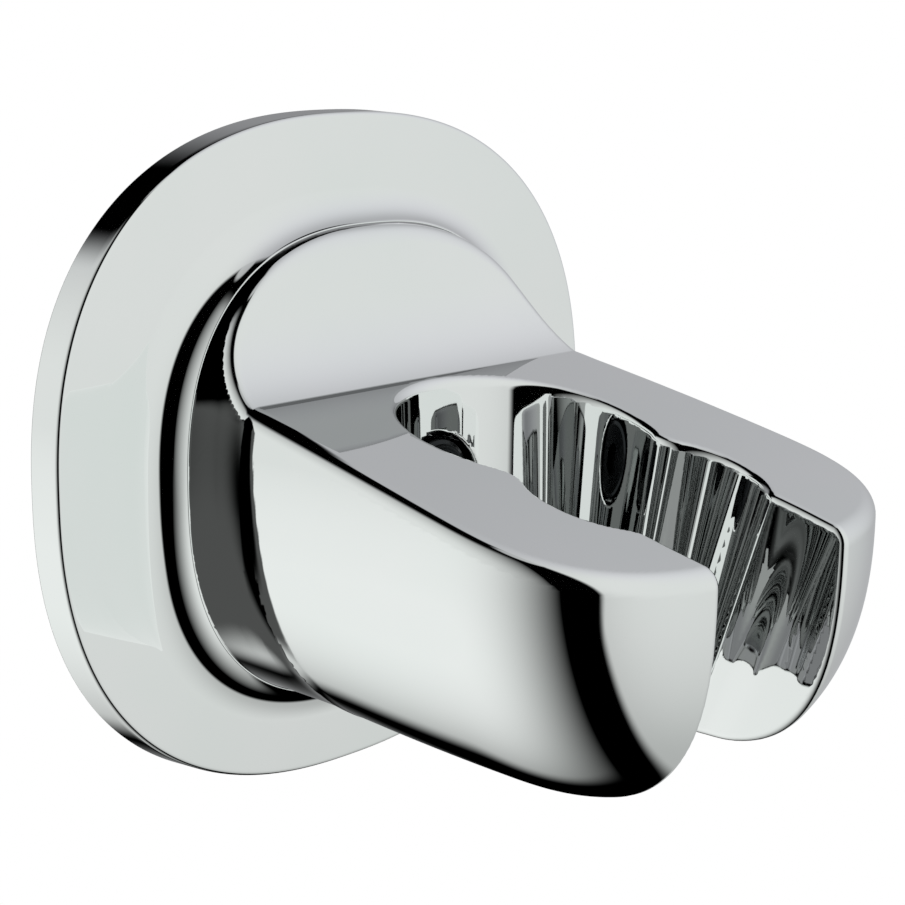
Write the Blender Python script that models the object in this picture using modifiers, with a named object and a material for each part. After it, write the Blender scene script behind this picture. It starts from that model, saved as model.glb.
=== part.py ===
"""Hand shower holder: a chromed arm with a three-position slot, on a wall plate.

Metres, +Z up. The wall is the plane Y = 0, the holder reaches out towards -Y, and the
origin is the middle of the wall plate's back. Sizes are written in millimetres and
multiplied by MM where a mesh is made; "reach" is the distance from the wall.
"""

import math

import bmesh
import bpy
import numpy as np

MM = 0.001

# wall plate
PLATE_WIDTH = 67.0
PLATE_HEIGHT = 60.6
PLATE_POWER = 2.38
PLATE_EDGE = 3.3
PLATE_WALL = 1.4
PLATE_EDGE_ROUND = 0.4
FACE_RISE = 0.2
COLLAR_HEIGHT = 2.9
COLLAR_RUN_SIDE = 4.2
COLLAR_RUN_TOP = 3.2
COLLAR_END_ANGLE = math.radians(80.0)
SLEEVE_WALL = 1.5
SLEEVE_END = 1.2

# neck of the arm, where it comes out of the plate
NECK_WIDTH = 44.2
NECK_HEIGHT = 41.8
NECK_DROP = 1.9
NECK_POWER = 2.46
NECK_START = 2.9
FLARE_START = 6.8

# arm
ARM_WIDTH_REAR = 44.8
ARM_WIDTH_FRONT = 46.8
ARM_DEPTH_REAR = 19.7
ARM_DEPTH_FRONT = 21.75
ARM_TOP_REAR = 22.0
ARM_DROP = 2.0
ARM_POWER = 2.5
RIM_REACH_TOP = 7.4
RIM_REACH_SIDE = 13.0
RIM_REACH_BOTTOM = 18.0
ROUND_START = 34.8
ARM_REACH = 51.5
NOSE_POWER = 2.62

# sloping top of the arm, and the tall face behind it
TOP_SLOPE = 0.2488
TOP_HEIGHT_AT_WALL = 10.54
TOP_CROWN = 0.2
BACK_FACE_TOP = 19.8
BACK_FACE_TILT = math.radians(9.6)
BACK_FACE_ROUND = 10.0
CREASE_REACH = 13.0

# slot: rear pocket, middle pocket and front pocket, which opens at the front
REAR_POCKET_HALF = 11.7
REAR_POCKET_REACH = 24.6
REAR_POCKET_BACK = 10.4
MIDDLE_POCKET_HALF = 11.7
MIDDLE_POCKET_REACH = 37.5
MIDDLE_POCKET_ROUND = 7.3
POCKET_RIDGE_ROUND = 3.0
FRONT_POCKET_HALF = 8.75
FRONT_POCKET_END = 50.0
ENTRY_HALF = 8.55
POCKET_TAPER = 0.0048
LEAN_AT_REAR = math.radians(-1.0)
LEAN_SLOPE = math.radians(0.3)
LEAN_CURVE = math.radians(0.013)

# fixing: screw through the arm into the bracket's boss
AXIS_DROP = 2.0
COUNTERBORE_RADIUS = 4.4
COUNTERBORE_SEAT = 11.0
SCREW_RADIUS = 1.9
SCREW_HOLE_CLEARANCE = 0.35
HEAD_RADIUS = 3.9
HEAD_HEIGHT = 2.3
HEAD_CHAMFER = 0.5
TIP_CHAMFER = 0.6
HEX_ACROSS = 3.0
HEX_DEPTH = 1.3
WASHER_RADIUS = 4.0
WASHER_THICKNESS = 0.7
BOSS_RADIUS = 11.5
BOSS_END = 8.3
SOCKET_END = 8.6
INSERT_RADIUS = 3.2
INSERT_LENGTH = 5.0
DISC_RADIUS = 18.6
DISC_THICKNESS = 1.6
GASKET_THICKNESS = 0.8
WALL_SCREW_RADIUS = 2.1
WALL_SCREW_HEAD_RADIUS = 3.4
WALL_SCREW_SPACING = 30.0

# gap that separate pieces keep where they seat on each other
SEAT_GAP = 0.3
GASKET_GAP = 0.2

# how far cutters run past what they cut
CUT_PAST = 0.5
CUT_PAST_FRONT = 8.0
CUT_PAST_TOP = 12.0
SLOT_CUTTER_DEPTHS = (-3.0, 4.0, 11.0, 18.0, 25.0, 32.0)

RING_POINTS = 72
ROUND_POINTS = 48
SCREW_AXIS = math.radians(90)


def start_collections():
    """Empty the scene and make one collection for the holder and one for its cutters."""
    for thing in list(bpy.data.objects):
        bpy.data.objects.remove(thing, do_unlink=True)
    made = []
    for name in ("hand_shower_holder", "cutters"):
        collection = bpy.data.collections.new(name)
        bpy.context.scene.collection.children.link(collection)
        made.append(collection)
    return made


PARTS, CUTTERS = start_collections()


def material(name, colour, roughness, metallic):
    """One Principled material with the piece's own colour."""
    made = bpy.data.materials.new(name)
    made.use_nodes = True
    shader = made.node_tree.nodes["Principled BSDF"]
    shader.inputs["Base Color"].default_value = (*colour, 1.0)
    shader.inputs["Roughness"].default_value = roughness
    shader.inputs["Metallic"].default_value = metallic
    return made


def place(name, mesh, collection):
    made = bpy.data.objects.new(name, mesh)
    collection.objects.link(made)
    if collection is CUTTERS:
        made.hide_render = True
        made.display_type = "WIRE"
    return made


def mesh_from(name, bm):
    bmesh.ops.recalc_face_normals(bm, faces=bm.faces)
    mesh = bpy.data.meshes.new(name)
    bm.to_mesh(mesh)
    bm.free()
    return mesh


def loft(name, rings, collection, closed=False):
    """Skin through rings of equal point counts, in millimetres; capped, or closed on itself."""
    bm = bmesh.new()
    rows = [[bm.verts.new([v * MM for v in point]) for point in ring] for ring in rings]
    following = rows[1:] + rows[:1] if closed else rows[1:]
    for row, after in zip(rows, following):
        count = len(row)
        for i in range(count):
            j = (i + 1) % count
            bm.faces.new((row[i], row[j], after[j], after[i]))
    if not closed:
        bm.faces.new(rows[0])
        bm.faces.new(rows[-1])
    return place(name, mesh_from(name, bm), collection)


def turned(name, profile, collection, drop=AXIS_DROP):
    """Screw a profile of (reach, radius) points round the fixing axis, which runs along Y."""
    mesh = bpy.data.meshes.new(name)
    points = [(radius * MM, 0.0, reach * MM) for reach, radius in profile]
    edges = [(i, i + 1) for i in range(len(points) - 1)]
    mesh.from_pydata(points, edges, [])
    made = place(name, mesh, collection)
    made.rotation_euler.x = SCREW_AXIS
    made.location.z = -drop * MM
    spin = made.modifiers.new("spin", "SCREW")
    spin.axis = "Z"
    spin.steps = ROUND_POINTS
    spin.render_steps = ROUND_POINTS
    spin.use_merge_vertices = True
    spin.merge_threshold = 0.00001
    return made


def prism(name, outline, half_width, collection):
    """Extrude an outline of (reach, height) points along X, both ways from the middle."""
    curve = bpy.data.curves.new(name, "CURVE")
    curve.dimensions = "2D"
    curve.fill_mode = "BOTH"
    curve.extrude = half_width * MM
    spline = curve.splines.new("POLY")
    spline.points.add(len(outline) - 1)
    for point, (reach, height) in zip(spline.points, outline):
        point.co = (-reach * MM, height * MM, 0.0, 1.0)
    spline.use_cyclic_u = True
    guide = place(name + "_curve", curve, CUTTERS)
    guide.rotation_euler = (math.radians(90), 0.0, math.radians(90))
    bpy.context.view_layer.update()
    graph = bpy.context.evaluated_depsgraph_get()
    mesh = bpy.data.meshes.new_from_object(guide.evaluated_get(graph))
    bm = bmesh.new()
    bm.from_mesh(mesh)
    bmesh.ops.remove_doubles(bm, verts=bm.verts, dist=0.000001)
    bmesh.ops.transform(bm, matrix=guide.matrix_world, verts=bm.verts)
    bpy.data.objects.remove(guide, do_unlink=True)
    return place(name, mesh_from(name, bm), collection)


def cut(target, cutter):
    step = target.modifiers.new("cut_" + cutter.name, "BOOLEAN")
    step.operation = "DIFFERENCE"
    step.solver = "EXACT"
    step.object = cutter


def smooth(made, angle=30.0):
    """Shade smooth, with edges sharper than the angle kept crisp."""
    made.data.shade_smooth()
    made.data.set_sharp_from_angle(angle=math.radians(angle))


def signed_power(value, power):
    return math.copysign(abs(value) ** power, value)


def oval_point(angle, half_width, up, down, drop, power):
    """A point of a superellipse whose upper and lower halves may differ in height."""
    side = half_width * signed_power(math.cos(angle), 2.0 / power)
    half_height = up if math.sin(angle) > 0 else down
    height = half_height * signed_power(math.sin(angle), 2.0 / power) - drop
    return side, height


def oval_ring(reach, half_width, half_height, drop, power):
    """A flat superellipse ring, parallel to the wall."""
    ring = []
    for i in range(RING_POINTS):
        angle = 2 * math.pi * i / RING_POINTS
        side, height = oval_point(angle, half_width, half_height, half_height, drop, power)
        ring.append((side, -reach, height))
    return ring


def top_height(reach):
    """Height of the arm's sloping top, which is crowned slightly between crease and nose."""
    middle = (CREASE_REACH + ARM_REACH) / 2
    half = (ARM_REACH - CREASE_REACH) / 2
    crown = TOP_CROWN * max(0.0, 1 - ((reach - middle) / half) ** 2)
    return TOP_HEIGHT_AT_WALL - TOP_SLOPE * reach + crown


def arm_size(reach):
    """Half-width, upper and lower half-height of the arm at a reach, before the nose rounds."""
    share = (reach - RIM_REACH_SIDE) / (ROUND_START - RIM_REACH_SIDE)
    share = min(max(share, 0.0), 1.0)
    width = ARM_WIDTH_REAR + (ARM_WIDTH_FRONT - ARM_WIDTH_REAR) * share
    depth = ARM_DEPTH_REAR + (ARM_DEPTH_FRONT - ARM_DEPTH_REAR) * share
    return width / 2, ARM_TOP_REAR, depth


def rim_reach(height):
    """Where the neck's flare ends: near the wall at the top, further out lower down."""
    side_height = top_height(CREASE_REACH)
    if height > side_height:
        share = (height - side_height) / (BACK_FACE_TOP - side_height)
        return RIM_REACH_SIDE + (RIM_REACH_TOP - RIM_REACH_SIDE) * min(share, 1.0) ** 0.45
    share = (side_height - height) / (side_height + ARM_DROP + ARM_DEPTH_REAR)
    return RIM_REACH_SIDE + (RIM_REACH_BOTTOM - RIM_REACH_SIDE) * min(share, 1.0) ** 1.5


def arm_rings():
    """Rings of the whole arm: neck, concave flare up to its rim, arm and rounded nose."""
    angles = [2 * math.pi * i / RING_POINTS for i in range(RING_POINTS)]
    neck = [
        oval_point(a, NECK_WIDTH / 2, NECK_HEIGHT / 2, NECK_HEIGHT / 2, NECK_DROP, NECK_POWER)
        for a in angles
    ]
    half_width, up, down = arm_size(RIM_REACH_SIDE)
    rim = [oval_point(a, half_width, up, down, ARM_DROP, ARM_POWER) for a in angles]
    rim_at = [rim_reach(height) for _, height in rim]
    rings = [[(side, -NECK_START, height) for side, height in neck]]
    for share in (0.0, 0.2, 0.4, 0.6, 0.8, 1.0):
        ring = []
        for (side, height), (rim_side, rim_height), end in zip(neck, rim, rim_at):
            grown = share**2
            ring.append(
                (
                    side + (rim_side - side) * grown,
                    -(FLARE_START + (end - FLARE_START) * share),
                    height + (rim_height - height) * grown,
                )
            )
        rings.append(ring)
    body_steps = [0.2, 0.4, 0.6, 0.8, 1.0]
    for share in body_steps:
        ring = []
        for angle, end in zip(angles, rim_at):
            reach = end + (ROUND_START - end) * share
            side, height = oval_point(angle, *arm_size(reach), ARM_DROP, ARM_POWER)
            ring.append((side, -reach, height))
        rings.append(ring)
    for turn in np.linspace(0, math.pi / 2, 13)[1:]:
        reach = ROUND_START + (ARM_REACH - ROUND_START) * math.sin(turn) ** (2 / NOSE_POWER)
        left = max(math.cos(turn) ** (2 / NOSE_POWER), 0.02)
        half_width, up, down = arm_size(ROUND_START)
        ring = []
        for angle in angles:
            side, height = oval_point(
                angle, half_width * left, up * left, down * left, ARM_DROP, ARM_POWER
            )
            ring.append((side, -reach, height))
        rings.append(ring)
    return rings


def arc(centre, radius, start, end, steps):
    """Points of an arc, from one angle to another."""
    return [
        (
            centre[0] + radius * math.cos(start + (end - start) * i / steps),
            centre[1] + radius * math.sin(start + (end - start) * i / steps),
        )
        for i in range(steps + 1)
    ]


def top_outline():
    """Side view of what is cut off the arm: the tall back face, its round and the top."""
    along = np.array([math.sin(BACK_FACE_TILT), -math.cos(BACK_FACE_TILT)])
    outward = np.array([math.cos(BACK_FACE_TILT), math.sin(BACK_FACE_TILT)])
    face_top = np.array([RIM_REACH_TOP, BACK_FACE_TOP])
    crease = np.array([CREASE_REACH, top_height(CREASE_REACH)])
    # the round's centre slides along the face until its circle passes through the crease
    start = face_top + BACK_FACE_ROUND * outward - crease
    half = start @ along
    slide = -half - math.sqrt(half**2 - start @ start + BACK_FACE_ROUND**2)
    centre = face_top + slide * along + BACK_FACE_ROUND * outward
    first = math.atan2(-outward[1], -outward[0])
    last = math.atan2(*(crease - centre)[::-1])
    if first < 0:
        first += 2 * math.pi
    if last < 0:
        last += 2 * math.pi
    above = face_top - CUT_PAST_TOP * along
    front = ARM_REACH + CUT_PAST_FRONT
    tops = [(r, top_height(r)) for r in np.linspace(CREASE_REACH, ARM_REACH, 9)[1:]]
    return (
        [tuple(above)]
        + arc(centre, BACK_FACE_ROUND, first, last, 8)
        + tops
        + [(front, top_height(front)), (front, above[1])]
    )


def slot_half_outline():
    """Half of the slot's outline on the top: (side, reach) from the rear pocket to the front."""
    rear = (0.0, REAR_POCKET_REACH)
    middle = (MIDDLE_POCKET_HALF - MIDDLE_POCKET_ROUND, MIDDLE_POCKET_REACH)
    # the ridge between the pockets is an arc that touches both of them from outside
    reach_1 = REAR_POCKET_HALF + POCKET_RIDGE_ROUND
    reach_2 = MIDDLE_POCKET_ROUND + POCKET_RIDGE_ROUND
    step = (middle[0] - rear[0], middle[1] - rear[1])
    apart = math.hypot(*step)
    along = (reach_1**2 - reach_2**2 + apart**2) / (2 * apart)
    out = math.sqrt(reach_1**2 - along**2)
    unit = (step[0] / apart, step[1] / apart)
    ridge = (
        rear[0] + along * unit[0] + out * unit[1],
        rear[1] + along * unit[1] - out * unit[0],
    )
    leave_rear = math.atan2(ridge[1] - rear[1], ridge[0] - rear[0])
    join_middle = math.atan2(ridge[1] - middle[1], ridge[0] - middle[0])
    corner = math.acos((FRONT_POCKET_HALF - middle[0]) / MIDDLE_POCKET_ROUND)
    back = [
        (side, REAR_POCKET_REACH + (reach - REAR_POCKET_REACH) * REAR_POCKET_BACK / REAR_POCKET_HALF)
        for side, reach in arc(rear, REAR_POCKET_HALF, -math.pi / 2, 0.0, 12)
    ]
    front = np.linspace(middle[1] + MIDDLE_POCKET_ROUND * math.sin(corner), FRONT_POCKET_END, 5)
    return (
        back
        + arc(rear, REAR_POCKET_HALF, 0.0, leave_rear, 4)[1:]
        + arc(ridge, POCKET_RIDGE_ROUND, leave_rear + math.pi, join_middle + math.pi, 5)[1:]
        + arc(middle, MIDDLE_POCKET_ROUND, join_middle, corner, 8)[1:]
        + [(FRONT_POCKET_HALF, reach) for reach in front[1:]]
    )


def slot_point(side, reach, depth):
    """Follow the slot's wall down from the top: it leans to the wall, more so at the front."""
    past = reach - (REAR_POCKET_REACH - REAR_POCKET_BACK)
    lean = LEAN_AT_REAR + LEAN_SLOPE * past + LEAN_CURVE * past**2
    fade = min(max((MIDDLE_POCKET_REACH + 6.0 - reach) / 4.0, 0.0), 1.0)
    narrowed = side * (1 - POCKET_TAPER * fade * depth)
    return (narrowed, -(reach - depth * math.tan(lean)), top_height(reach) - depth)


def slot_cutters():
    """The pockets as one ruled cutter, and the straight entry that opens them at the front."""
    half = slot_half_outline()
    outline = half + [(-side, reach) for side, reach in half[::-1] if side > 0.001]
    rings = [
        [slot_point(side, reach, depth) for side, reach in outline]
        for depth in SLOT_CUTTER_DEPTHS
    ]
    pockets = loft("slot_pockets", rings, CUTTERS)
    upper = slot_point(0.0, FRONT_POCKET_END, -CUT_PAST_FRONT)
    lower = slot_point(0.0, FRONT_POCKET_END, SLOT_CUTTER_DEPTHS[-1])
    front = ARM_REACH + CUT_PAST_FRONT
    side_view = [
        (-upper[1] - CUT_PAST, upper[2]),
        (-lower[1] - CUT_PAST, lower[2]),
        (front, lower[2]),
        (front, upper[2]),
    ]
    entry = prism("slot_entry", side_view, ENTRY_HALF, CUTTERS)
    return pockets, entry


def make_holder_body(chrome):
    """The arm: one casting with neck, flare, sloping top, slot and the bores for its fixing."""
    body = loft("holder_body", arm_rings(), PARTS)
    cut(body, prism("top_cutter", top_outline(), ARM_WIDTH_FRONT, CUTTERS))
    for cutter in slot_cutters():
        cut(body, cutter)
    socket_radius = BOSS_RADIUS + SEAT_GAP
    hole_radius = SCREW_RADIUS + SCREW_HOLE_CLEARANCE
    bores = turned(
        "body_bores",
        [
            (REAR_POCKET_REACH, 0.0),
            (REAR_POCKET_REACH, COUNTERBORE_RADIUS),
            (COUNTERBORE_SEAT, COUNTERBORE_RADIUS),
            (COUNTERBORE_SEAT, hole_radius),
            (SOCKET_END, hole_radius),
            (SOCKET_END, socket_radius),
            (NECK_START - CUT_PAST, socket_radius),
            (NECK_START - CUT_PAST, 0.0),
        ],
        CUTTERS,
    )
    cut(body, bores)
    smooth(body)
    body.data.materials.append(chrome)


def make_cover_plate(chrome):
    """The wall plate: a shell with a rounded edge, a flat face and a hollow collar round the neck."""
    width, height = PLATE_WIDTH / 2, PLATE_HEIGHT / 2
    hole_width, hole_height = NECK_WIDTH / 2 + SEAT_GAP, NECK_HEIGHT / 2 + SEAT_GAP
    foot_width = hole_width + COLLAR_RUN_SIDE
    foot_height = hole_height + COLLAR_RUN_TOP
    collar_foot = PLATE_EDGE + FACE_RISE

    def plate_ring(reach, inset):
        return oval_ring(reach, width - inset, height - inset, 0.0, PLATE_POWER)

    def face_ring(share, thickness=0.0):
        """A ring on the face: 0 at the rounded edge, 1 at the foot of the collar."""
        inset = PLATE_EDGE_ROUND + thickness

        def blend(first, last):
            return first + (last - first) * share

        return oval_ring(
            PLATE_EDGE + FACE_RISE * share - thickness,
            blend(width - inset, foot_width + 0.5 * thickness),
            blend(height - inset, foot_height + 0.5 * thickness),
            blend(0.0, NECK_DROP),
            blend(PLATE_POWER, NECK_POWER),
        )

    def collar_ring(turn):
        """A ring on the collar's hollow slope, which has turned up by this angle."""
        inward = math.sin(turn) / math.sin(COLLAR_END_ANGLE)
        upward = (1 - math.cos(turn)) / (1 - math.cos(COLLAR_END_ANGLE))
        return oval_ring(
            collar_foot + COLLAR_HEIGHT * upward,
            foot_width + (hole_width - foot_width) * inward,
            foot_height + (hole_height - foot_height) * inward,
            NECK_DROP,
            NECK_POWER,
        )

    def sleeve_ring(reach, wall):
        return oval_ring(reach, hole_width + wall, hole_height + wall, NECK_DROP, NECK_POWER)

    edge = [
        plate_ring(
            PLATE_EDGE - PLATE_EDGE_ROUND * (1 - math.sin(turn)),
            PLATE_EDGE_ROUND * (1 - math.cos(turn)),
        )
        for turn in (0.0, math.pi / 4)
    ]
    rings = (
        [plate_ring(0.0, 0.0)]
        + edge
        + [face_ring(share) for share in np.linspace(0.0, 1.0, 4)]
        + [collar_ring(turn) for turn in np.linspace(0.0, COLLAR_END_ANGLE, 9)[1:]]
        + [sleeve_ring(SLEEVE_END, 0.0), sleeve_ring(SLEEVE_END, SLEEVE_WALL)]
        + [sleeve_ring(collar_foot - PLATE_WALL, SLEEVE_WALL)]
        + [face_ring(0.0, PLATE_WALL), plate_ring(0.0, PLATE_WALL + PLATE_EDGE_ROUND)]
    )
    plate = loft("cover_plate", rings, PARTS, closed=True)
    smooth(plate)
    plate.data.materials.append(chrome)


def bracket_holes(name, reach_from, reach_to, head_radius):
    """Cutters for the two countersunk wall screw holes, side by side."""
    made = []
    for side in (-1, 1):
        profile = [
            (reach_to + CUT_PAST, 0.0),
            (reach_to + CUT_PAST, head_radius),
            (reach_to, head_radius),
            (reach_from, WALL_SCREW_RADIUS),
            (reach_from - CUT_PAST, WALL_SCREW_RADIUS),
            (reach_from - CUT_PAST, 0.0),
        ]
        hole = turned(f"{name}_{'left' if side < 0 else 'right'}", profile, CUTTERS)
        hole.location.x = side * WALL_SCREW_SPACING / 2 * MM
        made.append(hole)
    return made


def make_wall_bracket(zinc):
    """The bracket behind the arm: a disc with two wall screw holes and a boss for the arm."""
    back = GASKET_THICKNESS + GASKET_GAP
    front = back + DISC_THICKNESS
    bore = INSERT_RADIUS + SEAT_GAP
    bore_end = BOSS_END - INSERT_LENGTH - SEAT_GAP
    bracket = turned(
        "wall_bracket",
        [
            (BOSS_END, bore),
            (BOSS_END, BOSS_RADIUS),
            (front, BOSS_RADIUS),
            (front, DISC_RADIUS),
            (back, DISC_RADIUS),
            (back, 0.0),
            (bore_end, 0.0),
            (bore_end, bore),
            (BOSS_END, bore),
        ],
        PARTS,
    )
    for hole in bracket_holes("bracket_hole", back, front, WALL_SCREW_HEAD_RADIUS):
        cut(bracket, hole)
    smooth(bracket)
    bracket.data.materials.append(zinc)


def make_wall_gasket(rubber):
    """A thin rubber sheet between bracket and wall, with the same two holes."""
    gasket = turned(
        "wall_gasket",
        [
            (GASKET_THICKNESS, 0.0),
            (GASKET_THICKNESS, DISC_RADIUS),
            (0.0, DISC_RADIUS),
            (0.0, 0.0),
        ],
        PARTS,
    )
    for hole in bracket_holes("gasket_hole", 0.0, GASKET_THICKNESS, WALL_SCREW_RADIUS):
        cut(gasket, hole)
    smooth(gasket)
    gasket.data.materials.append(rubber)


def make_threaded_insert(brass):
    """A brass sleeve in the boss that takes the fixing screw."""
    bore = SCREW_RADIUS + SCREW_HOLE_CLEARANCE
    start = BOSS_END - INSERT_LENGTH
    insert = turned(
        "threaded_insert",
        [
            (BOSS_END, bore),
            (BOSS_END, INSERT_RADIUS),
            (start, INSERT_RADIUS),
            (start, bore),
            (BOSS_END, bore),
        ],
        PARTS,
    )
    smooth(insert)
    insert.data.materials.append(brass)


def make_lock_washer(steel):
    """The washer under the screw's head."""
    bore = SCREW_RADIUS + SCREW_HOLE_CLEARANCE
    start = COUNTERBORE_SEAT + SEAT_GAP
    end = start + WASHER_THICKNESS
    washer = turned(
        "lock_washer",
        [(end, bore), (end, WASHER_RADIUS), (start, WASHER_RADIUS), (start, bore), (end, bore)],
        PARTS,
    )
    smooth(washer)
    washer.data.materials.append(steel)


def make_fixing_screw(steel):
    """The socket head screw in the rear pocket's back wall, which holds the arm to the boss."""
    under_head = COUNTERBORE_SEAT + SEAT_GAP + WASHER_THICKNESS + SEAT_GAP
    head_end = under_head + HEAD_HEIGHT
    tip = BOSS_END - INSERT_LENGTH + SEAT_GAP
    screw = turned(
        "fixing_screw",
        [
            (head_end, 0.0),
            (head_end, HEAD_RADIUS - HEAD_CHAMFER),
            (head_end - 0.3 * HEAD_CHAMFER, HEAD_RADIUS - 0.3 * HEAD_CHAMFER),
            (head_end - HEAD_CHAMFER, HEAD_RADIUS),
            (under_head, HEAD_RADIUS),
            (under_head, SCREW_RADIUS),
            (tip + TIP_CHAMFER, SCREW_RADIUS),
            (tip, SCREW_RADIUS - TIP_CHAMFER),
            (tip, 0.0),
        ],
        PARTS,
    )
    bm = bmesh.new()
    bmesh.ops.create_cone(
        bm,
        cap_ends=True,
        segments=6,
        radius1=HEX_ACROSS / math.sqrt(3) * MM,
        radius2=HEX_ACROSS / math.sqrt(3) * MM,
        depth=2 * HEX_DEPTH * MM,
    )
    socket = place("hex_socket", mesh_from("hex_socket", bm), CUTTERS)
    socket.rotation_euler.x = SCREW_AXIS
    socket.location = (0.0, -head_end * MM, -AXIS_DROP * MM)
    cut(screw, socket)
    smooth(screw)
    screw.data.materials.append(steel)


def main():
    chrome = material("chrome", (0.80, 0.82, 0.82), 0.05, 1.0)
    zinc = material("zinc_casting", (0.55, 0.56, 0.57), 0.45, 1.0)
    steel = material("stainless_steel", (0.60, 0.60, 0.60), 0.3, 1.0)
    brass = material("brass", (0.78, 0.60, 0.28), 0.3, 1.0)
    rubber = material("black_rubber", (0.03, 0.03, 0.03), 0.8, 0.0)
    make_cover_plate(chrome)
    make_holder_body(chrome)
    make_wall_bracket(zinc)
    make_wall_gasket(rubber)
    make_threaded_insert(brass)
    make_lock_washer(steel)
    make_fixing_screw(steel)


main()
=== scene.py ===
import math

import bpy
import numpy as np
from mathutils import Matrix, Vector


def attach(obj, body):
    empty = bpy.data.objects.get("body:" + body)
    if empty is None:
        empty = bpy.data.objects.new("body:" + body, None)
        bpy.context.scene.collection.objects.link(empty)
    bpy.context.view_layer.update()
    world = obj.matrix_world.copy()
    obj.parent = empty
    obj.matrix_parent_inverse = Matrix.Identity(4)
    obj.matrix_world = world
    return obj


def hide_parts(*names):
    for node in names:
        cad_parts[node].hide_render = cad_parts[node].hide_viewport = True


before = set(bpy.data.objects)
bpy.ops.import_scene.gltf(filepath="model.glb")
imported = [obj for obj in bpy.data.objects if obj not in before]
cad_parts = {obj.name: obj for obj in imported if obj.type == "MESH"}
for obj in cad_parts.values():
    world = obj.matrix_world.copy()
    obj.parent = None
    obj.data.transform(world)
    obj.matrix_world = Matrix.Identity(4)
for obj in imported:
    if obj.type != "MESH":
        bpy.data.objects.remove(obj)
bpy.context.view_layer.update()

# Sizes are in millimetres: side is X, reach is the distance from the wall (minus Y), height is Z.
MM = 0.001

# cover plate: its side leans in by the draft, and a hollow collar rises to the neck
PLATE_WIDTH, PLATE_HEIGHT, PLATE_POWER = 67.0, 60.6, 2.38
PLATE_EDGE, PLATE_WALL, PLATE_EDGE_ROUND = 3.3, 1.4, 0.4
PLATE_DRAFT = math.radians(2.3)
FACE_RISE = 0.2
COLLAR_HEIGHT, COLLAR_RUN_SIDE, COLLAR_RUN_TOP = 2.6, 4.2, 3.2
COLLAR_END_ANGLE, COLLAR_LIP_ROUND = math.radians(80), 0.08
SLEEVE_WALL, SLEEVE_END = 1.5, 1.2
NECK_FIT = 0.08

# neck and arm
NECK_WIDTH, NECK_HEIGHT, NECK_DROP, NECK_POWER = 43.6, 42.3, 0.85, 2.46
NECK_START, FLARE_START = 2.9, 5.9
ARM_WIDTH_REAR, ARM_WIDTH_FRONT = 45.4, 46.8
ARM_DEPTH_REAR, ARM_DEPTH_FRONT = 19.7, 21.75
ARM_TOP_REAR, ARM_DROP, ARM_POWER = 22.0, 2.0, 2.5
ARM_LEVELLING = 0.6
ROUND_START, ARM_REACH, NOSE_POWER = 34.8, 51.43, 2.9

# rim, where the flare ends: it turns out steeply under the crease
RIM_REACH_SIDE, RIM_REACH_BOTTOM = 13.0, 18.0
RIM_TURN_SLOPE, RIM_TURN_BLEND = 1.64, 1.6

# sloping top and the tall face behind it
TOP_SLOPE, TOP_HEIGHT_AT_WALL, TOP_CROWN = 0.2488, 10.54, 0.2
BACK_FACE_REACH, BACK_FACE_TOP, BACK_FACE_TILT = 7.4, 19.8, math.radians(9.6)
BACK_FACE_ROUND, CREASE_REACH = 10.0, 13.0

# slot: its taper ends ahead of the middle pocket, and its front pocket narrows to the entry
REAR_POCKET_HALF, REAR_POCKET_REACH, REAR_POCKET_BACK = 11.7, 24.6, 10.4
MIDDLE_POCKET_HALF, MIDDLE_POCKET_REACH, MIDDLE_POCKET_ROUND = 11.7, 37.5, 7.3
MIDDLE_POCKET_FLAT = MIDDLE_POCKET_HALF - MIDDLE_POCKET_ROUND
POCKET_RIDGE_ROUND = 3.0
FRONT_POCKET_HALF, FRONT_POCKET_END, ENTRY_HALF = 8.75, 50.0, 8.55
ENTRY_NARROWS, ENTRY_REACHED = 46.0, 51.0
POCKET_TAPER, TAPER_GONE, TAPER_FADE = 0.0048, MIDDLE_POCKET_REACH + 6.0, 4.0
LEAN_AT_REAR, LEAN_SLOPE, LEAN_CURVE = math.radians(-1.0), math.radians(0.3), math.radians(0.013)

# fixing: the bores lie on one axis and open into the rear pocket
AXIS_DROP, BORE_FRONT = 2.0, 22.0
COUNTERBORE_RADIUS, COUNTERBORE_SEAT = 4.4, 11.0
SCREW_HOLE_RADIUS = 2.25
SOCKET_RADIUS, SOCKET_END = 11.8, 8.6

# small rounds that the casting keeps after polishing: the oval face's gives way to the sloping
# top's between two reaches
RIM_ROUND = 0.55
REAR_ROUND = 0.3
OVAL_ROUND, TOP_ROUND, ROUND_CHANGE = 1.0, 1.3, (11.0, 16.0)
SLOT_ROUND = 0.7
SLOT_CORNER_ROUND = 0.8
BORE_ROUND = 0.25

# the casting's skin: its grid, and how often its points are drawn onto the form and evened out
SKIN_LOW, SKIN_HIGH, SKIN_STEP = (-24.3, 2.2, -24.9), (24.3, 52.4, 20.9), 0.352
SKIN_DRAWS, SKIN_EVENINGS = 9, 6
LONGEST_DRAW, EVENING_SHARE = 0.3, 0.6

# studio
FLOOR_HEIGHT, FLOOR_HALF = -600.0, 2500.0


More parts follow.
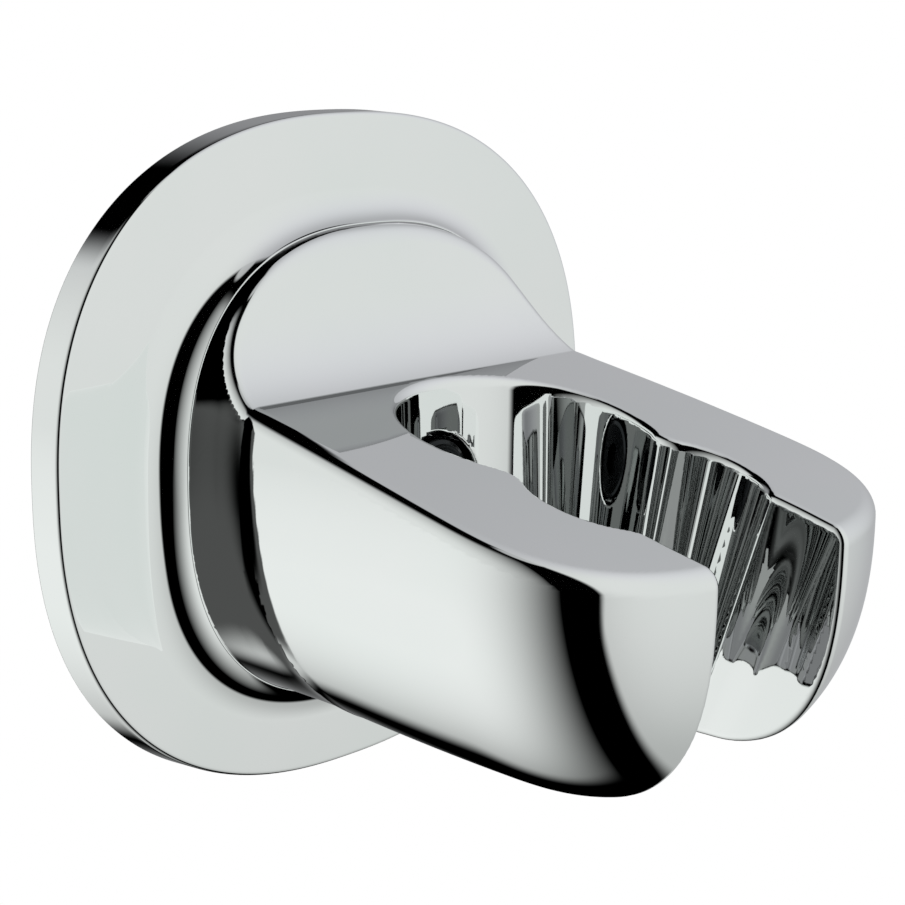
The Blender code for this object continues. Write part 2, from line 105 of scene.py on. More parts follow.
def mesh_piece(name, points, faces, material, normals=None):
    """Put whole arrays of points (side, reach, height in mm) and four-sided faces into a mesh.

    Reach counts against Y, which mirrors the points, so the faces are turned over."""
    points = np.asarray(points, float).reshape(-1, 3) * (MM, -MM, MM)
    faces = np.asarray(faces, int)[:, ::-1]
    mesh = bpy.data.meshes.new(name)
    mesh.vertices.add(len(points))
    mesh.vertices.foreach_set("co", points.ravel())
    mesh.loops.add(faces.size)
    mesh.loops.foreach_set("vertex_index", faces.ravel())
    mesh.polygons.add(len(faces))
    mesh.polygons.foreach_set("loop_start", np.arange(len(faces)) * faces.shape[1])
    mesh.update(calc_edges=True)
    mesh.validate()
    mesh.shade_smooth()
    if normals is not None:
        mesh.normals_split_custom_set_from_vertices(normals * (1, -1, 1))
    mesh.materials.append(material)
    piece = bpy.data.objects.new(name, mesh)
    bpy.context.scene.collection.objects.link(piece)
    return piece


def eased_step(value, low, high):
    """0 below low, 1 above high, and 3t^2 - 2t^3 between them."""
    t = np.clip((value - low) / (high - low), 0.0, 1.0)
    return t * t * (3 - 2 * t)


def soft_min(first, second, width):
    """The smaller of two values, with a parabola of that width where they cross."""
    near = np.clip(1 - np.abs(first - second) / width, 0.0, 1.0)
    return np.minimum(first, second) - near * near * width / 4


def squircle(side, height, half_width, half_height, power):
    """(|x/a|^n + |z/b|^n)^(1/n): 1 on a rounded square of half-sizes a and b."""
    total = np.abs(side / half_width) ** power + np.abs(height / half_height) ** power
    return total ** (1 / power)


def top_height(reach):
    """The sloping top: a line from the wall, with a parabola as crown between crease and nose."""
    middle, half = (CREASE_REACH + ARM_REACH) / 2, (ARM_REACH - CREASE_REACH) / 2
    crown = TOP_CROWN * np.maximum(1 - ((reach - middle) / half) ** 2, 0.0)
    return TOP_HEIGHT_AT_WALL - TOP_SLOPE * reach + crown


def back_round():
    """The arc between the tall face and the crease: its centre and start, and the face's own
    downward and outward directions. It touches the face and passes through the crease."""
    along = np.array([math.sin(BACK_FACE_TILT), -math.cos(BACK_FACE_TILT)])
    outward = np.array([math.cos(BACK_FACE_TILT), math.sin(BACK_FACE_TILT)])
    face_top = np.array([BACK_FACE_REACH, BACK_FACE_TOP])
    start = face_top + BACK_FACE_ROUND * outward - (CREASE_REACH, CREASE_HEIGHT)
    half = start @ along
    slide = -half - math.sqrt(half**2 - start @ start + BACK_FACE_ROUND**2)
    centre = face_top + slide * along + BACK_FACE_ROUND * outward
    return centre, centre - BACK_FACE_ROUND * outward, along, outward


CREASE_HEIGHT = float(top_height(CREASE_REACH))
BACK_CENTRE, BACK_ARC_START, FACE_ALONG, FACE_OUTWARD = back_round()


def top_field(reach, height):
    """Above the top: the sloping plane ahead of the crease, an arc and a leaning plane behind."""
    plane = (height - top_height(reach)) / math.hypot(1.0, TOP_SLOPE)
    over = np.stack([reach - BACK_CENTRE[0], height - BACK_CENTRE[1]])
    arc = BACK_FACE_ROUND - np.hypot(*over)
    face = (reach - BACK_ARC_START[0]) * FACE_OUTWARD[0]
    face = face + (height - BACK_ARC_START[1]) * FACE_OUTWARD[1]
    behind = np.where(over[0] * FACE_ALONG[0] + over[1] * FACE_ALONG[1] < 0, face, arc)
    return np.where(reach > CREASE_REACH, plane, np.minimum(plane, behind))


def rim_reach(height):
    """Reach of the rim: along the tall face's own edge above the crease, then steeply out, and
    from there ever further out, by the fall to the power 1.5."""
    fall = np.clip((CREASE_HEIGHT - height) / (CREASE_HEIGHT + ARM_DROP + ARM_DEPTH_REAR), 0, 1.2)
    low = RIM_REACH_SIDE + (RIM_REACH_BOTTOM - RIM_REACH_SIDE) * fall**1.5
    under = np.clip(height - BACK_CENTRE[1], -BACK_FACE_ROUND, 0.0)
    arc = BACK_CENTRE[0] - np.sqrt(np.maximum(BACK_FACE_ROUND**2 - under**2, 0.0))
    face = BACK_ARC_START[0] - (height - BACK_ARC_START[1]) * math.tan(BACK_FACE_TILT)
    steep = RIM_TURN_SLOPE * (CREASE_HEIGHT - height) + RIM_REACH_SIDE
    high = np.where(height > CREASE_HEIGHT, arc, steep)
    high = np.where(height > BACK_ARC_START[1], face, high)
    return soft_min(low, high, RIM_TURN_BLEND)


def arm_sizes(reach):
    """Half-width and depth of the arm: both grow from the rim and level off towards the nose."""
    share = np.clip((reach - RIM_REACH_SIDE) / (ROUND_START - RIM_REACH_SIDE), 0.0, None)
    share = soft_min(share, 1.0, ARM_LEVELLING)
    half_width = (ARM_WIDTH_REAR + (ARM_WIDTH_FRONT - ARM_WIDTH_REAR) * share) / 2
    return half_width, ARM_DEPTH_REAR + (ARM_DEPTH_FRONT - ARM_DEPTH_REAR) * share


def casting_field(side, reach, height):
    """Outside neck, flare and arm: rounded-square sections and a nose, g^m + p^m = 1.

    Behind the rim the neck's sizes grow to the arm's by 3/4 w + 1/4 w^6, with w the share of the
    way, and each size changes over softly at the rim. The arm's mean half-size turns the result
    into something near mm."""
    end = rim_reach(height)
    way = np.clip((reach - FLARE_START) / (end - FLARE_START), 0.0, 1.6)
    grown = 0.75 * way + 0.25 * way**6
    arm_half, arm_depth = arm_sizes(reach)
    rim_half, rim_depth = arm_sizes(end)
    neck_half, neck_up = NECK_WIDTH / 2, NECK_HEIGHT / 2
    half_width = soft_min(neck_half + (rim_half - neck_half) * grown, arm_half, RIM_ROUND)
    up = soft_min(neck_up + (ARM_TOP_REAR - neck_up) * grown, ARM_TOP_REAR, RIM_ROUND)
    down = -soft_min(-neck_up - (rim_depth - neck_up) * grown, -arm_depth, RIM_ROUND)
    level = height + NECK_DROP + (ARM_DROP - NECK_DROP) * np.minimum(grown, 1.0)
    power = NECK_POWER + (ARM_POWER - NECK_POWER) * np.minimum(grown, 1.0)
    section = squircle(side, level, half_width, np.where(level > 0, up, down), power)
    past = np.maximum(reach - ROUND_START, 0.0) / (ARM_REACH - ROUND_START)
    mean_half = 20
    return mean_half * ((section**NOSE_POWER + past**NOSE_POWER) ** (1 / NOSE_POWER) - 1)


def ruling_foot(reach, height):
    """Where the slot wall's straight line through a point meets the top, and how deep it is.

    The lean grows as a parabola of the distance from the slot's back, so the foot comes from a few
    Newton steps."""
    back = REAR_POCKET_REACH - REAR_POCKET_BACK
    foot = np.array(reach, float)
    for _ in range(6):
        past = np.clip(foot - back, 0.0, FRONT_POCKET_END - back)
        lean = LEAN_AT_REAR + LEAN_SLOPE * past + LEAN_CURVE * past**2
        turn = np.where(
            (foot > back) & (foot < FRONT_POCKET_END), LEAN_SLOPE + 2 * LEAN_CURVE * past, 0.0
        )
        depth = top_height(foot) - height
        miss = foot - depth * np.tan(lean) - reach
        rate = 1 + TOP_SLOPE * np.tan(lean) - depth / np.cos(lean) ** 2 * turn
        foot = foot - miss / np.maximum(rate, 0.2)
    return foot, top_height(foot) - height


def ridge_centre():
    """Centre of the arc that touches the rear and the middle pocket from outside."""
    step = (MIDDLE_POCKET_FLAT, MIDDLE_POCKET_REACH - REAR_POCKET_REACH)
    apart = math.hypot(*step)
    reach_1 = REAR_POCKET_HALF + POCKET_RIDGE_ROUND
    reach_2 = MIDDLE_POCKET_ROUND + POCKET_RIDGE_ROUND
    along = (reach_1**2 - reach_2**2 + apart**2) / (2 * apart)
    out = math.sqrt(reach_1**2 - along**2)
    unit = (step[0] / apart, step[1] / apart)
    return along * unit[0] + out * unit[1], REAR_POCKET_REACH + along * unit[1] - out * unit[0]


RIDGE = ridge_centre()


def in_ridge_triangle(across, foot):
    """Whether a point is in the triangle of the three arc centres, where the ridge is nearest."""
    corners = (0.0, REAR_POCKET_REACH), RIDGE, (MIDDLE_POCKET_FLAT, MIDDLE_POCKET_REACH)
    found = np.ones(np.shape(across), bool)
    for (x0, y0), (x1, y1) in zip(corners, corners[1:] + corners[:1]):
        found &= (x1 - x0) * (foot - y0) - (y1 - y0) * (across - x0) >= 0
    return found


def slot_field(side, reach, height):
    """Inside the slot: its outline on the top, carried down along the leaning lines.

    The outline is the rear pocket's circle, an ellipse at its back, the middle pocket's two arcs,
    the ridge's arc between them, and the front pocket's straight sides."""
    foot, depth = ruling_foot(reach, height)
    fade = np.clip((TAPER_GONE - foot) / TAPER_FADE, 0.0, 1.0)
    across = np.abs(side) / (1 - POCKET_TAPER * fade * np.clip(depth, -3.0, 40.0))
    beyond = foot - REAR_POCKET_REACH
    beyond = np.where(beyond < 0, beyond * REAR_POCKET_HALF / REAR_POCKET_BACK, beyond)
    rear = REAR_POCKET_HALF - np.hypot(across, beyond)
    past_flat = np.maximum(across - MIDDLE_POCKET_FLAT, 0.0)
    middle = MIDDLE_POCKET_ROUND - np.hypot(past_flat, foot - MIDDLE_POCKET_REACH)
    ridge = np.hypot(across - RIDGE[0], foot - RIDGE[1]) - POCKET_RIDGE_ROUND
    pockets = np.where(in_ridge_triangle(across, foot), ridge, np.maximum(rear, middle))
    narrowed = eased_step(foot, ENTRY_NARROWS, ENTRY_REACHED)
    half = FRONT_POCKET_HALF + (ENTRY_HALF - FRONT_POCKET_HALF) * narrowed
    front = np.minimum(half - across, foot - MIDDLE_POCKET_REACH)
    gap_1 = np.maximum(SLOT_CORNER_ROUND + pockets, 0.0)
    gap_2 = np.maximum(SLOT_CORNER_ROUND + front, 0.0)
    return np.hypot(gap_1, gap_2) - np.maximum(SLOT_CORNER_ROUND, np.minimum(-pockets, -front))


def body_fields(points):
    """The casting's limits, each positive outside it: outer form, rear, top, slot and bores."""
    side, reach, height = points[..., 0], points[..., 1], points[..., 2]
    around = np.hypot(side, height + AXIS_DROP)
    return np.stack([
        casting_field(side, reach, height),
        NECK_START - reach,
        top_field(reach, height),
        slot_field(side, reach, height),
        np.minimum(
            COUNTERBORE_RADIUS - around, np.minimum(reach - COUNTERBORE_SEAT, BORE_FRONT - reach)
        ),
        np.minimum(SCREW_HOLE_RADIUS - around, BORE_FRONT - reach),
        np.minimum(SOCKET_RADIUS - around, SOCKET_END - reach),
    ])


def rounded_edge(first, second, radius):
    """Limit of two limits together, with their edge rounded: the root of the summed squares of
    what each reaches past minus the radius, less the radius."""
    (value_1, normal_1), (value_2, normal_2) = first, second
    past_1, past_2 = np.maximum(value_1 + radius, 0.0), np.maximum(value_2 + radius, 0.0)
    length = np.hypot(past_1, past_2)
    value = np.minimum(np.maximum(value_1, value_2), -radius) + length
    both = ((past_1 > 0) & (past_2 > 0))[:, None]
    mixed = past_1[:, None] * normal_1 + past_2[:, None] * normal_2
    normal = np.where(both, mixed, np.where((value_1 > value_2)[:, None], normal_1, normal_2))
    return value, normal / np.maximum(np.linalg.norm(normal, axis=1, keepdims=True), 1e-9)


def body_surface(points):
    """Distance to the finished casting and the way out of it, at each point.

    Each limit's value over its slope is its distance, with the slope from points 0.01 mm to
    either side."""
    step = 0.01
    slopes = np.stack([
        (body_fields(points + shift) - body_fields(points - shift)) / (2 * step)
        for shift in step * np.eye(3)
    ], axis=-1)
    sizes = np.maximum(np.linalg.norm(slopes, axis=-1), 1e-3)
    limits = [(v / s, n / s[:, None]) for v, s, n in zip(body_fields(points), sizes, slopes)]
    outer, rear, top, slot, *bores = limits
    made = rounded_edge(outer, rear, REAR_ROUND)
    ahead = eased_step(points[:, 1], *ROUND_CHANGE)
    made = rounded_edge(made, top, OVAL_ROUND + (TOP_ROUND - OVAL_ROUND) * ahead)
    made = rounded_edge(made, slot, SLOT_ROUND)
    for bore in bores:
        made = rounded_edge(made, bore, BORE_ROUND)
    return made


def skin(values, low, step):
    """Surface nets: a point in each cell that the surface crosses, at the mean of where it crosses
    the cell's edges, and a face round each grid edge that it crosses."""
    inside = values < 0
    size = np.array(inside.shape) - 1
    count = np.sum([
        inside[i : size[0] + i, j : size[1] + j, k : size[2] + k]
        for i in (0, 1) for j in (0, 1) for k in (0, 1)
    ], axis=0)
    mixed = (count > 0) & (count < 8)
    number = np.full(mixed.shape, -1)
    number[mixed] = np.arange(mixed.sum())
    cell = np.argwhere(mixed)
    total, hits = np.zeros((len(cell), 3)), np.zeros(len(cell))
    units = np.eye(3, dtype=int)
    faces = []
    for axis, unit in enumerate(units):
        one, two = units[(axis + 1) % 3], units[(axis + 2) % 3]
        for start in (cell, cell + two, cell + one, cell + one + two):
            v0, v1 = values[tuple(start.T)], values[tuple((start + unit).T)]
            crossed = (v0 < 0) != (v1 < 0)
            share = np.where(crossed, v0 / np.where(crossed, v0 - v1, 1.0), 0.0)
            total += crossed[:, None] * (start + share[:, None] * unit)
            hits += crossed
        place = np.argwhere(np.diff(inside, axis=axis))
        around = place - one - two, place - two, place, place - one
        quad = np.stack([number[tuple(cells.T)] for cells in around], axis=1)
        outward = inside[tuple(place.T)]
        faces.append(np.where(outward[:, None], quad, quad[:, ::-1]))
    return low + step * total / hits[:, None], np.concatenate(faces)


def relaxed(points, faces):
    """Each point moved to the mean of its neighbours along the faces' edges."""
    start, end = faces.ravel(), np.roll(faces, -1, axis=1).ravel()
    here, there = np.concatenate([start, end]), np.concatenate([end, start])
    total = np.stack([np.bincount(here, points[there, k], len(points)) for k in range(3)], axis=1)
    return total / np.bincount(here, minlength=len(points))[:, None]


def make_holder_body(material):
    """The casting: a skin over its limits, drawn onto them and evened out between the steps."""
    low = np.array(SKIN_LOW)
    axes = [np.arange(a, b + SKIN_STEP, SKIN_STEP) for a, b in zip(SKIN_LOW, SKIN_HIGH)]
    grid = np.stack(np.meshgrid(*axes, indexing="ij"), axis=-1)
    points, faces = skin(body_fields(grid).max(axis=0), low, SKIN_STEP)
    for turn in range(SKIN_DRAWS):
        distance, normal = body_surface(points)
        points = points - np.clip(distance, -LONGEST_DRAW, LONGEST_DRAW)[:, None] * normal
        if turn < SKIN_EVENINGS:
            drift = relaxed(points, faces) - points
            drift -= np.sum(drift * normal, axis=1, keepdims=True) * normal
            points = points + EVENING_SHARE * drift
    _, normal = body_surface(points)
    return mesh_piece("arm_casting", points, faces, material, normal)


def oval_ring(half_width, half_height, drop, power, reach):
    """Points (a |cos|^(2/n), reach, b |sin|^(2/n) - drop) of a rounded square, signs kept."""
    angles = np.linspace(0, 2 * math.pi, 360, endpoint=False)
    cosine, sine = np.cos(angles), np.sin(angles)
    side = half_width * np.sign(cosine) * np.abs(cosine) ** (2 / power)
    height = half_height * np.sign(sine) * np.abs(sine) ** (2 / power) - drop
    return np.stack([side, np.full_like(side, reach), height], axis=-1)


def ring_faces(rings, points):
    """Faces between rings of points, closed round each ring and from the last to the first."""
    row, column = np.meshgrid(np.arange(rings), np.arange(points), indexing="ij")
    after, beside = (row + 1) % rings, (column + 1) % points
    corners = (after, column), (after, beside), (row, beside), (row, column)
    return np.stack([r * points + c for r, c in corners], axis=-1).reshape(-1, 4)


def make_cover_plate(material):
    """The wall plate: rounded-square rings from its back edge over face and collar to the sleeve,
    and back inside.

    The side leans in, and a quarter circle joins it to the face. The face's rings turn from the
    plate's outline into the collar's, and the collar is a hollow arc with a small round at its
    lip."""
    width, height = PLATE_WIDTH / 2, PLATE_HEIGHT / 2
    hole_width, hole_height = NECK_WIDTH / 2 + NECK_FIT, NECK_HEIGHT / 2 + NECK_FIT
    foot_width, foot_height = hole_width + COLLAR_RUN_SIDE, hole_height + COLLAR_RUN_TOP
    foot = PLATE_EDGE + FACE_RISE
    lip = COLLAR_LIP_ROUND * (1 + math.sin(COLLAR_END_ANGLE))
    slope_height = COLLAR_HEIGHT - COLLAR_LIP_ROUND * (1 - math.cos(COLLAR_END_ANGLE))
    round_start = PLATE_EDGE - PLATE_EDGE_ROUND * (1 - math.sin(PLATE_DRAFT))
    lean = math.tan(PLATE_DRAFT) * round_start - PLATE_EDGE_ROUND * (1 - math.cos(PLATE_DRAFT))
    rings = []

    def outline(inset, reach):
        rings.append(oval_ring(width - inset, height - inset, 0.0, PLATE_POWER, reach))

    def collar(outset, reach):
        half_sizes = hole_width + outset, hole_height + outset
        rings.append(oval_ring(*half_sizes, NECK_DROP, NECK_POWER, reach))

    def on_face(share, thickness=0.0):
        inset = lean + PLATE_EDGE_ROUND + thickness
        rings.append(oval_ring(
            width - inset + (foot_width + 0.5 * thickness - width + inset) * share,
            height - inset + (foot_height + 0.5 * thickness - height + inset) * share,
            NECK_DROP * share,
            PLATE_POWER + (NECK_POWER - PLATE_POWER) * share,
            PLATE_EDGE + FACE_RISE * share - thickness,
        ))

    # the second ring, close to the first, keeps the back edge sharp
    for reach in (0.0, 0.04, *np.linspace(0.0, round_start, 6)[1:-1]):
        outline(math.tan(PLATE_DRAFT) * reach, reach)
    for turn in np.linspace(PLATE_DRAFT, math.pi / 2, 9):
        inset = lean + PLATE_EDGE_ROUND * (1 - math.cos(turn))
        outline(inset, PLATE_EDGE - PLATE_EDGE_ROUND * (1 - math.sin(turn)))
    for share in np.linspace(0, 1, 21)[1:]:
        on_face(share)
    for turn in np.linspace(0, COLLAR_END_ANGLE, 41)[1:]:
        inward = math.sin(turn) / math.sin(COLLAR_END_ANGLE)
        upward = (1 - math.cos(turn)) / (1 - math.cos(COLLAR_END_ANGLE))
        rings.append(oval_ring(
            foot_width + (hole_width + lip - foot_width) * inward,
            foot_height + (hole_height + lip - foot_height) * inward,
            NECK_DROP, NECK_POWER, foot + slope_height * upward,
        ))
    for turn in np.linspace(COLLAR_END_ANGLE, -math.pi / 2, 11)[1:]:
        reach = foot + COLLAR_HEIGHT - COLLAR_LIP_ROUND * (1 - math.cos(turn))
        collar(COLLAR_LIP_ROUND * (1 + math.sin(turn)), reach)
    collar(0.0, SLEEVE_END)
    collar(SLEEVE_WALL, SLEEVE_END)
    collar(SLEEVE_WALL, foot - PLATE_WALL)
    on_face(0.0, PLATE_WALL)
    outline(PLATE_WALL + PLATE_EDGE_ROUND, 0.0)
    return mesh_piece("wall_plate", rings, ring_faces(len(rings), len(rings[0])), material)


def linear(code):
    """An sRGB hex colour as linear values."""
    parts = [int(code[i : i + 2], 16) / 255 for i in (1, 3, 5)]
    return [p / 12.92 if p <= 0.04045 else ((p + 0.055) / 1.055) ** 2.4 for p in parts] + [1.0]


def add_node(owner, kind, settings=None, inputs=None):
    """Add a node to a material or world with its settings, and its inputs as values or as links
    from other sockets."""
    tree = owner.node_tree
    node = tree.nodes.new(kind)
    for name, value in (settings or {}).items():
        setattr(node, name, value)
    for name, value in (inputs or {}).items():
        if isinstance(value, bpy.types.NodeSocket):
            tree.links.new(value, node.inputs[name])
        else:
            node.inputs[name].default_value = value
    return node


def new_material(name):
    """A material with its Principled shader and the object's own coordinates."""
    material = bpy.data.materials.new(name)
    material.use_nodes = True
    shader = material.node_tree.nodes["Principled BSDF"]
    place = add_node(material, "ShaderNodeTexCoord").outputs["Object"]
    return material, shader, place


def vary(material, value, socket, low, high, start=0.3, end=0.7):
    """Carry a pattern's value, from start to end, onto a socket as low to high."""
    spread = add_node(material, "ShaderNodeMapRange", inputs={
        "Value": value, "From Min": start, "From Max": end, "To Min": low, "To Max": high,
    })
    material.node_tree.links.new(spread.outputs["Result"], socket)


def blend_colours(material, value, socket, first, second):
    """Carry a pattern's value onto a colour socket, from the first colour to the second."""
    ramp = add_node(material, "ShaderNodeValToRGB", inputs={"Fac": value})
    for stop, place, code in zip(ramp.color_ramp.elements, (0.3, 0.7), (first, second)):
        stop.position, stop.color = place, linear(code)
    material.node_tree.links.new(ramp.outputs["Color"], socket)


def raise_grain(material, shader, value, height):
    """Bump of that height in metres from a pattern's value."""
    bump = add_node(material, "ShaderNodeBump", inputs={
        "Height": value, "Distance": height, "Strength": 1.0,
    })
    material.node_tree.links.new(bump.outputs["Normal"], shader.inputs["Normal"])


def bright_chrome():
    """Bright chrome plate over a polished zinc casting: a near perfect mirror with hard light and
    dark edges. Wiping leaves a faint cloudiness, in patches about 16 mm across."""
    material, shader, place = new_material("bright_chrome_plate")
    shader.inputs["Metallic"].default_value = 1.0
    cloud = add_node(material, "ShaderNodeTexNoise", inputs={
        "Vector": place, "Scale": 1 / (16 * MM), "Detail": 3.0,
    }).outputs["Fac"]
    vary(material, cloud, shader.inputs["Roughness"], 0.012, 0.03)
    blend_colours(material, cloud, shader.inputs["Base Color"], "#EDF0EF", "#F0F1F1")
    return material


def die_cast_zinc():
    """Die-cast zinc as it leaves the mould: dull grey metal with a matt skin, cloudy in patches
    about 5 mm across where the melt flowed, over a grain of 0.4 mm."""
    material, shader, place = new_material("die_cast_zinc")
    shader.inputs["Metallic"].default_value = 1.0
    flow = add_node(material, "ShaderNodeTexNoise", inputs={
        "Vector": place, "Scale": 1 / (5 * MM), "Detail": 4.0, "Distortion": 0.6,
    }).outputs["Fac"]
    grain = add_node(material, "ShaderNodeTexNoise", inputs={
        "Vector": place, "Scale": 1 / (0.4 * MM), "Detail": 2.0,
    }).outputs["Fac"]
    blend_colours(material, flow, shader.inputs["Base Color"], "#94979A", "#AEB0B1")
    vary(material, flow, shader.inputs["Roughness"], 0.38, 0.54)
    raise_grain(material, shader, grain, 0.02 * MM)
    return material


def moulded_rubber():
    """Black EPDM rubber, pressed in a plain mould: matt, slightly dusty in patches about 8 mm
    across, with the mould's fine texture of 0.5 mm."""
    material, shader, place = new_material("moulded_black_rubber")
    dust = add_node(material, "ShaderNodeTexNoise", inputs={
        "Vector": place, "Scale": 1 / (8 * MM), "Detail": 5.0,
    }).outputs["Fac"]
    texture = add_node(material, "ShaderNodeTexVoronoi", inputs={
        "Vector": place, "Scale": 1 / (0.5 * MM),
    }).outputs["Distance"]
    blend_colours(material, dust, shader.inputs["Base Color"], "#1B1C1D", "#2A2B2C")
    vary(material, dust, shader.inputs["Roughness"], 0.68, 0.84)
    raise_grain(material, shader, texture, 0.03 * MM)
    return material


def turned_metal(name, darker, lighter, spacing):
    """Metal turned on a lathe: fine rings round the fixing's axis, a turning mark every so many mm,
    which spread the light across them, with slight staining in patches about 3 mm across."""
    material, shader, place = new_material(name)
    shader.inputs["Metallic"].default_value = 1.0
    centred = add_node(material, "ShaderNodeMapping", inputs={
        "Vector": place, "Location": (0.0, 0.0, AXIS_DROP * MM),
    }).outputs["Vector"]
    # a ring wave repeats every pi / (10 * scale)
    wave = {"wave_type": "RINGS", "rings_direction": "Y"}
    rings = add_node(material, "ShaderNodeTexWave", wave, {
        "Vector": centred, "Scale": math.pi / (10 * spacing * MM), "Distortion": 0.4,
    }).outputs["Fac"]
    stain = add_node(material, "ShaderNodeTexNoise", inputs={
        "Vector": place, "Scale": 1 / (3 * MM), "Detail": 3.0,
    }).outputs["Fac"]
    blend_colours(material, stain, shader.inputs["Base Color"], darker, lighter)
    vary(material, rings, shader.inputs["Roughness"], 0.16, 0.32, 0.0, 1.0)
    raise_grain(material, shader, rings, 0.004 * MM)
    return material


def floor_paper():
    """White studio paper: matt, with a faint fibre of 2 mm. The camera sees it as plain white."""
    material, shader, place = new_material("white_studio_paper")
    fibre = add_node(material, "ShaderNodeTexNoise", inputs={
        "Vector": place, "Scale": 1 / (2 * MM), "Detail": 4.0,
    }).outputs["Fac"]
    blend_colours(material, fibre, shader.inputs["Base Color"], "#F2F2F1", "#F7F7F6")
    shader.inputs["Roughness"].default_value = 0.9
    white = add_node(material, "ShaderNodeEmission", inputs={
        "Color": (1, 1, 1, 1), "Strength": 1.0,
    })
    seen = add_node(material, "ShaderNodeLightPath").outputs["Is Camera Ray"]
    mixed = add_node(material, "ShaderNodeMixShader", inputs={
        0: seen, 1: shader.outputs["BSDF"], 2: white.outputs["Emission"],
    })
    output = material.node_tree.nodes["Material Output"]
    material.node_tree.links.new(mixed.outputs["Shader"], output.inputs["Surface"])
    return material


def make_floor():
    """A plain floor below the holder: a flat grid of four by four faces, height the same
    everywhere."""
    lines = np.linspace(-FLOOR_HALF, FLOOR_HALF, 5)
    side, reach = np.meshgrid(lines, lines, indexing="ij")
    points = np.stack([side, reach, np.full_like(side, FLOOR_HEIGHT)], axis=-1)
    row, column = np.meshgrid(np.arange(4), np.arange(4), indexing="ij")
    first = row * 5 + column
    faces = np.stack([first, first + 5, first + 6, first + 1], axis=-1).reshape(-1, 4)
    floor = mesh_piece("studio_floor", points, faces, floor_paper())
    floor.visible_glossy = False


def make_camera():
    """The photograph's camera, fitted to its outlines in a frame 905 pixels square.

    The frame's origin shows at the pixel (u0, v0), and the camera is away by so many half-widths
    of the plate."""
    pixels, focal = 905, 2135.05
    u0, v0, away = 324.489, 438.479, 5.94123
    azimuth, elevation = math.radians(-47.8507), math.radians(11.4758)
    back = np.array([
        math.sin(azimuth) * math.cos(elevation),
        -math.cos(azimuth) * math.cos(elevation),
        math.sin(elevation),
    ])
    right = np.array([math.cos(azimuth), math.sin(azimuth), 0.0])
    up = np.cross(back, right)
    across = (u0 - pixels / 2) / focal * away
    down = (v0 - pixels / 2) / focal * away
    camera = bpy.data.objects.new("camera", bpy.data.cameras.new("camera"))
    bpy.context.scene.collection.objects.link(camera)
    camera.location = (back * away - right * across + up * down) * PLATE_WIDTH / 2 * MM
    camera.rotation_mode = "QUATERNION"
    camera.rotation_quaternion = Vector(-back).to_track_quat("-Z", "Y")
    camera.data.sensor_width = 36.0
    camera.data.lens = camera.data.sensor_width * focal / pixels
    camera.data.clip_start = 0.01
    camera.data.clip_end = 50.0
    bpy.context.scene.camera = camera


def toward(azimuth, elevation):
    """Unit direction: azimuth 0 is out from the wall, 90 to the right, elevation is upwards."""
    turn, rise = math.radians(azimuth), math.radians(elevation)
    return (math.sin(turn) * math.cos(rise), -math.cos(turn) * math.cos(rise), math.sin(rise))


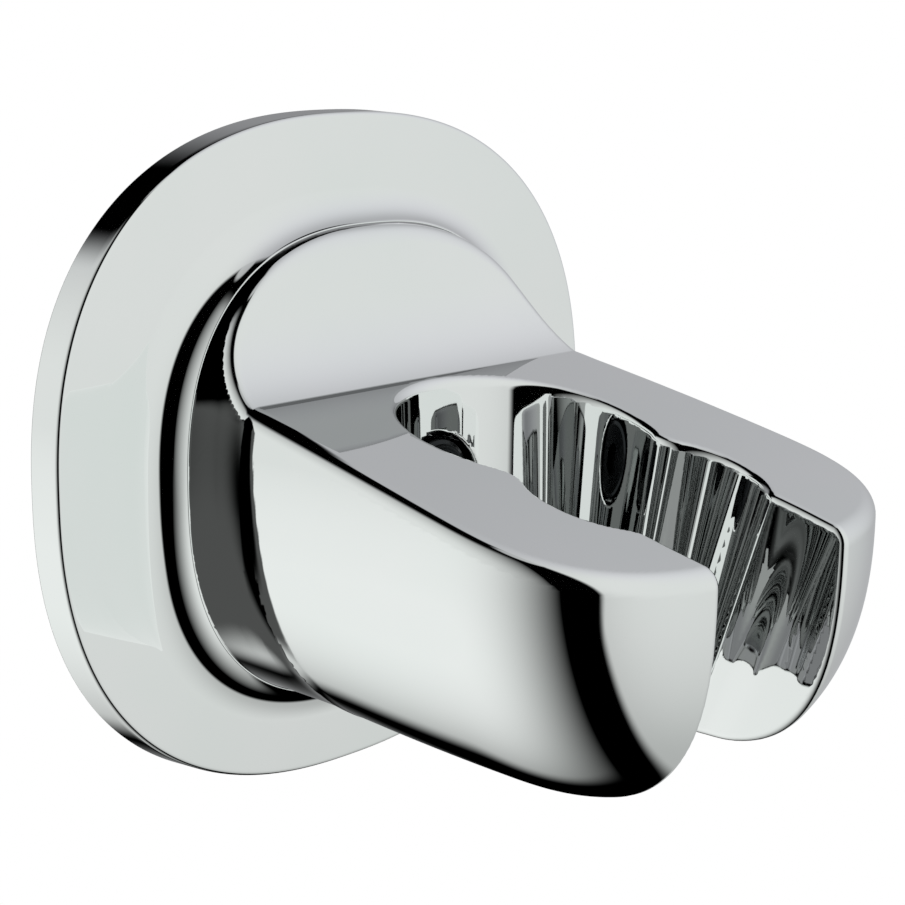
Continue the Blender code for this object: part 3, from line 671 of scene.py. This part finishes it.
def make_surroundings():
    """A white studio as chrome sees it: a large soft light on the left that fades to the front, one
    on the right and above, and dark gaps between them, above and behind. The camera, and whatever
    isn't a mirror, sees plain white."""
    world = bpy.data.worlds.new("studio")
    bpy.context.scene.world = world
    world.use_nodes = True
    ray = add_node(world, "ShaderNodeTexCoord").outputs["Generated"]
    path = add_node(world, "ShaderNodeLightPath").outputs
    mirror = path["Is Glossy Ray"]

    def beside(direction, low, high, dark=0.0, bright=1.0, smooth=True):
        """How far the ray is turned to a direction, from dark at low to bright at high."""
        part = add_node(world, "ShaderNodeVectorMath", {"operation": "DOT_PRODUCT"}, {
            0: ray, 1: direction,
        })
        kind = "SMOOTHSTEP" if smooth else "LINEAR"
        found = add_node(world, "ShaderNodeMapRange", {"interpolation_type": kind}, {
            "Value": part.outputs["Value"], "From Min": low, "From Max": high,
            "To Min": dark, "To Max": bright,
        })
        return found.outputs["Result"]

    def joined(operation, value, *others):
        """The first value taken together with each of the others in turn."""
        for other in others:
            sockets = {0: value, 1: other}
            value = add_node(world, "ShaderNodeMath", {"operation": operation}, sockets).outputs[0]
        return value

    def dimmed_past(depth, share):
        """1 for rays up to a depth, and less by a share for deeper ones. The first reflection's
        depth is 2, and the second's is 3."""
        deeper = joined("GREATER_THAN", path["Ray Depth"], depth + 0.5)
        return joined("SUBTRACT", 1.0, joined("MULTIPLY", deeper, share))

    # the light on the left: strongest at eye level beside the holder, with a second one under it
    level = joined("POWER", beside(toward(-140, 0), 0.18, 0.98, smooth=False), 0.8)
    lower = joined("POWER", beside(toward(-139.7, -26.5), 0.2, 0.99, smooth=False), 1.1)
    left = joined("MAXIMUM", joined("MULTIPLY", level, 0.85), joined("MULTIPLY", lower, 0.96))
    left = joined("MULTIPLY", left, beside((-0.928, 0.0, -0.371), -0.1, 0.15))

    # the light on the right and its part overhead: it ends behind the holder, fades upwards and
    # is dimmer in a second reflection, and a black gap lies above the wall
    above_wall = beside((0.1, 0.93, 0.35), 0.752, 0.772, 1.0, 0.0)
    right = joined(
        "MULTIPLY",
        beside(toward(68, 0), -0.05, 0.05),
        beside(toward(54, 30), -0.03, 0.06),
        beside((0.637, -0.733, 0.237), -0.02, 0.03),
    )
    right = joined("MAXIMUM", right, beside((0.0, 0.0, 1.0), 0.975, 0.99, 0.0, 0.85))
    fading = beside(toward(25, 25), 0.0, 0.95, 0.5, 0.83)
    right = joined("MULTIPLY", right, fading, above_wall, dimmed_past(2, 0.5))
    light = joined("MULTIPLY", joined("MAXIMUM", left, right), dimmed_past(3, 0.55))

    # the wall side: black, dim towards its edge, with a dim light low beside the plate
    wall = (0.05, 0.998, 0.03)
    light = joined("MULTIPLY", light, beside(wall, 0.735, 0.765, 1.0, 0.0))
    dim_edge = beside(wall, 0.745, 0.765, 0.0, 0.085)
    dim_edge = joined("MULTIPLY", dim_edge, beside(wall, 0.8, 0.83, 1.0, 0.0), above_wall)
    light = joined("ADD", light, dim_edge, beside((0.35, 0.93, 0.02), 0.78, 0.9, 0.0, 0.3))

    # in the second reflection plain light hides the arm's image on the plate
    second = add_node(world, "ShaderNodeMath", {"operation": "COMPARE"}, {
        0: path["Ray Depth"], 1: 3.0, 2: 0.5,
    }).outputs[0]
    filled = joined("MULTIPLY", second, beside((-0.704, -0.704, -0.1), 0.05, 0.15, 0.0, 0.915))
    light = joined("MAXIMUM", light, filled)

    # faintly green from the left, faintly violet from the right and above
    hue = add_node(world, "ShaderNodeMix", {"data_type": "RGBA"}, {
        0: beside(toward(124, 29), 0.1, 0.9), 6: linear("#FAFDFB"), 7: linear("#F6F7FB"),
    }).outputs[2]
    shown = add_node(world, "ShaderNodeMix", {"data_type": "RGBA"}, {
        0: mirror, 6: (1, 1, 1, 1), 7: hue,
    }).outputs[2]
    strength = joined("ADD", joined("MULTIPLY", light, mirror), joined("SUBTRACT", 1.0, mirror))
    background = world.node_tree.nodes["Background"]
    world.node_tree.links.new(shown, background.inputs["Color"])
    world.node_tree.links.new(strength, background.inputs["Strength"])


make_camera()
make_surroundings()
make_floor()

chrome = bright_chrome()
body = make_holder_body(chrome)
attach(body, "root")
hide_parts("holder_body")
plate = make_cover_plate(chrome)
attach(plate, "root")
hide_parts("cover_plate")
# the photograph shows no image of the plate on the arm
plate.visible_glossy = False

finishes = {
    "wall_bracket": die_cast_zinc(),
    "wall_gasket": moulded_rubber(),
    "threaded_insert": turned_metal("turned_brass", "#B8924A", "#D0AE62", 0.25),
    "lock_washer": turned_metal("turned_stainless_steel", "#B9BCBE", "#CFD1D2", 0.3),
    # the screw's near-black colours, #242628 to #323436, are painted shade: they stand for the dark
    # deep in the counterbore
    "fixing_screw": turned_metal("dark_turned_steel_painted_shade", "#242628", "#323436", 0.3),
}
for name, finish in finishes.items():
    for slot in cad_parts[name].material_slots:
        slot.material = finish

bpy.context.scene.view_settings.view_transform = "Standard"
